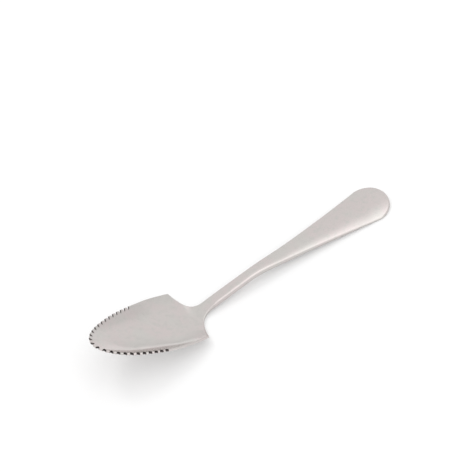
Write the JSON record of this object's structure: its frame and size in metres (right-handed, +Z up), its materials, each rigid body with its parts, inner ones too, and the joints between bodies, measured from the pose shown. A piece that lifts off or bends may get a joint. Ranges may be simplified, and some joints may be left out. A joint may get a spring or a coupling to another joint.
{
  "type": "grapefruit spoon",
  "caption": "Steel spoon with a pointed, square-shouldered scoop, a notched front rim, a slim neck and a handle that widens to a round end.",
  "frame": {"origin": "on the table under the middle of the spoon's length, on its centre line", "axes": "+X from the tip of the bowl to the end of the handle, +Z up from the table into the open side of the bowl"},
  "size_m": [0.165, 0.034, 0.0264],
  "materials": {
    "steel": "polished stainless steel with fine marks"
  },
  "bodies": {
    "root": {"spoon": "steel"}
  },
  "joints": []
}
